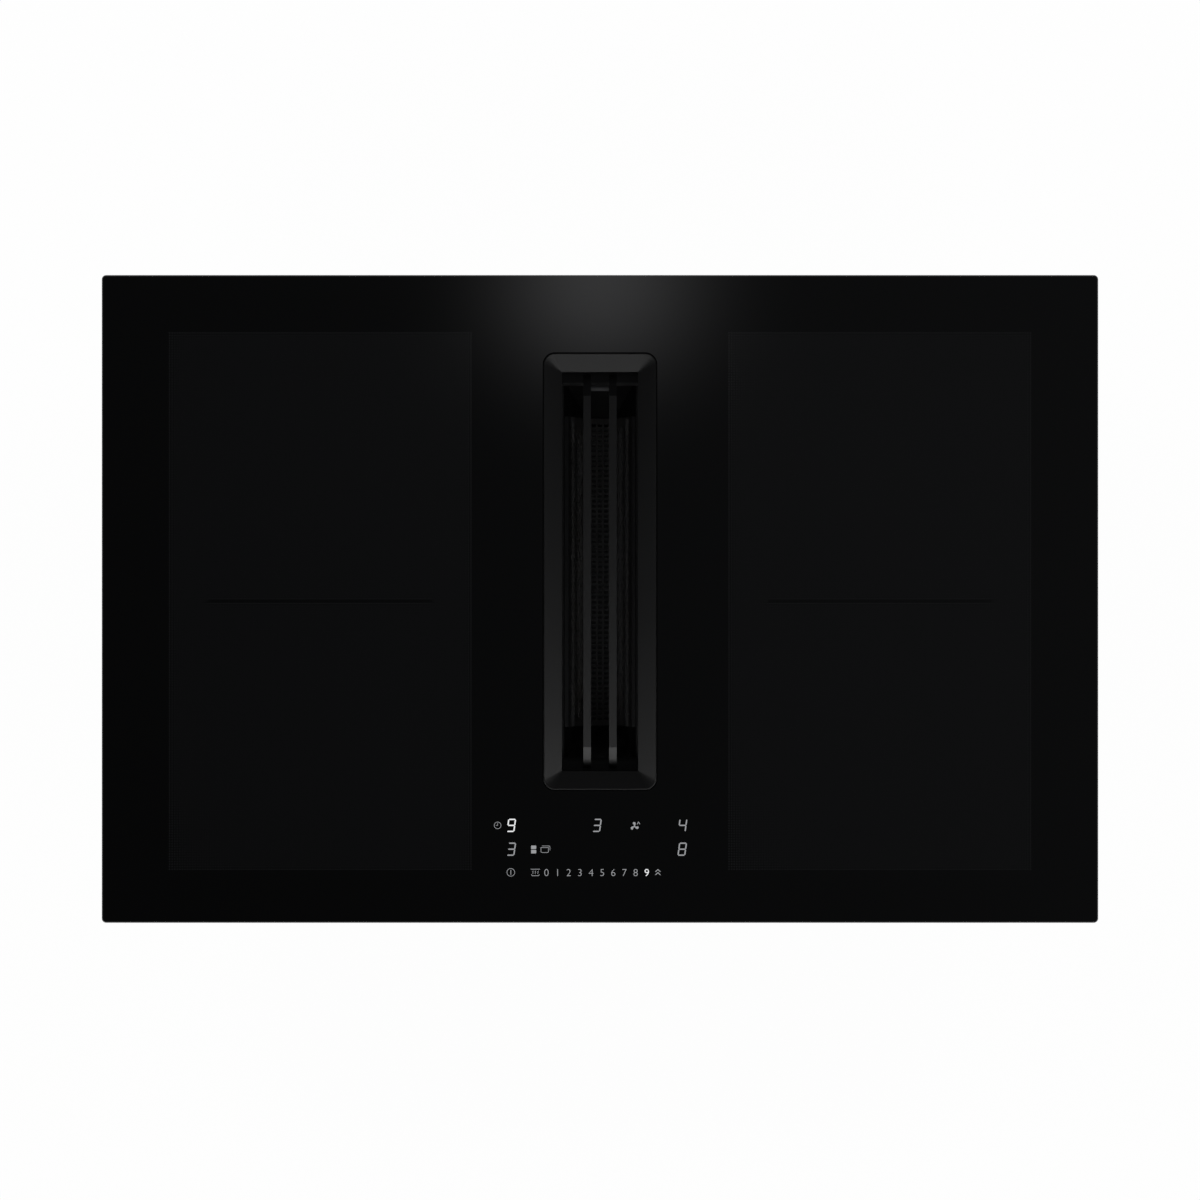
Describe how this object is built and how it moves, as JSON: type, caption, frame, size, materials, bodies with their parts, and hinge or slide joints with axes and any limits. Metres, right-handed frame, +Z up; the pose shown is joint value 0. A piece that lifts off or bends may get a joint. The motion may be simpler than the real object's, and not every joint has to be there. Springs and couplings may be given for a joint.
{
  "type": "downdraft induction cooktop",
  "caption": "Black glass induction cooktop with a central lift-off air inlet, grease filter, drip tray and a fan box with a flat duct outlet under the casing.",
  "frame": {"origin": "middle of the underside of the fan box level, straight below the middle of the glass plate", "axes": "+X to the user's right along the glass, +Y to the rear, +Z up out of the glass"},
  "size_m": [0.8, 0.52, 0.2016],
  "materials": {
    "black_glass": "polished black glass ceramic, screen printed",
    "seal_foam": "closed-cell foam strip",
    "silicone": "silicone rubber",
    "black_plastic": "moulded, matte",
    "fan_box_grey": "moulded, fine grain",
    "carrier_plastic": "glass-filled moulding",
    "aluminium": "mill finish",
    "zinc_steel": "zinc-coated sheet",
    "spring_steel": "bright spring steel",
    "screw_steel": "zinc plated",
    "copper_litz": "enamelled copper wire",
    "ferrite": "sintered, matte",
    "sensor_silver": "plain",
    "mica": "pressed mica sheet",
    "circuit_board": "solder-masked laminate",
    "component_black": "moulded",
    "component_grey": "moulded",
    "terminal_plastic": "moulded",
    "lead_sleeve": "wire insulation",
    "cover_black": "satin black coated casting",
    "filter_steel": "stainless sheet and expanded mesh",
    "tray_black": "black enamel"
  },
  "bodies": {
    "cooktop": {"glass_plate": "black_glass", "rim_seal": "seal_foam", "cover_seal": "silicone", "inlet_collar": "black_plastic", "air_shaft": "black_plastic", "mounting_frame": "aluminium", "casing_tray": "zinc_steel", "casing_screws": "screw_steel", "worktop_springs": "spring_steel", "coil_windings": "copper_litz", "coil_carriers": "carrier_plastic", "ferrite_bars": "ferrite", "coil_sensors": "sensor_silver", "coil_buffers": "silicone", "mica_sheets": "mica", "shield_plate_left": "aluminium", "shield_plate_right": "aluminium", "support_posts": "carrier_plastic", "power_boards": "circuit_board", "heat_sinks": "aluminium", "power_transistors": "component_black", "film_capacitors": "component_grey", "filter_chokes": "copper_litz", "blower_housings": "component_black", "control_bracket": "carrier_plastic", "control_board": "circuit_board", "display_modules": "component_black", "touch_sensors": "silicone", "fan_box_base": "fan_box_grey", "fan_box_lid": "fan_box_grey", "fan_box_screws": "screw_steel", "fan_scroll": "fan_box_grey", "fan_deck": "zinc_steel", "inlet_ring": "carrier_plastic", "motor_bearings": "screw_steel", "motor_stator": "copper_litz", "motor_plate": "zinc_steel", "motor_mounts": "silicone", "outlet_spigot": "fan_box_grey", "terminal_box": "black_plastic", "terminal_block": "terminal_plastic", "cable_gland": "black_plastic", "coil_leads": "lead_sleeve", "control_cable": "lead_sleeve"},
    "inlet_cover": {"cover_frame": "cover_black", "cover_bar_left": "cover_black", "cover_bar_right": "cover_black", "cover_screws": "screw_steel"},
    "grease_filter": {"filter_frame": "filter_steel", "filter_mesh_left": "filter_steel", "filter_mesh_right": "filter_steel", "filter_floor": "filter_steel", "filter_lift_tab": "filter_steel"},
    "drip_tray": {"drip_tray": "tray_black"},
    "fan_rotor": {"impeller": "carrier_plastic", "rotor_cup": "zinc_steel", "motor_shaft": "screw_steel"},
    "blower_rotor_left": {"blower_rotor_left": "component_black"},
    "blower_rotor_right": {"blower_rotor_right": "component_black"},
    "terminal_lid": {"terminal_lid": "black_plastic"}
  },
  "joints": [
    {"name": "cover_lift", "type": "slide", "parent": "cooktop", "child": "inlet_cover", "axis": [0, 0, 1], "range_m": [0, 0.3]},
    {"name": "filter_lift", "type": "slide", "parent": "cooktop", "child": "grease_filter", "axis": [0, 0, 1], "range_m": [0, 0.24]},
    {"name": "tray_lift", "type": "slide", "parent": "cooktop", "child": "drip_tray", "axis": [0, 0, 1], "range_m": [0, 0.168]},
    {"name": "fan_spin", "type": "hinge", "parent": "cooktop", "child": "fan_rotor", "pos_m": [0.1862, -0.022, 0.05], "axis": [0, 0, 1], "continuous": true},
    {"name": "blower_left_spin", "type": "hinge", "parent": "cooktop", "child": "blower_rotor_left", "pos_m": [-0.29367, 0.165, 0.145], "axis": [0, 0, 1], "continuous": true},
    {"name": "blower_right_spin", "type": "hinge", "parent": "cooktop", "child": "blower_rotor_right", "pos_m": [-0.18133, 0.165, 0.145], "axis": [0, 0, 1], "continuous": true},
    {"name": "terminal_lid_hinge", "type": "hinge", "parent": "cooktop", "child": "terminal_lid", "pos_m": [-0.29, -0.015, 0.0906], "axis": [-1, 0, 0], "range_deg": [0, 95]}
  ],
  "couplings": [
    {"joint": "filter_lift", "follows": "cover_lift", "ratio": 0.8},
    {"joint": "tray_lift", "follows": "cover_lift", "ratio": 0.56}
  ]
}
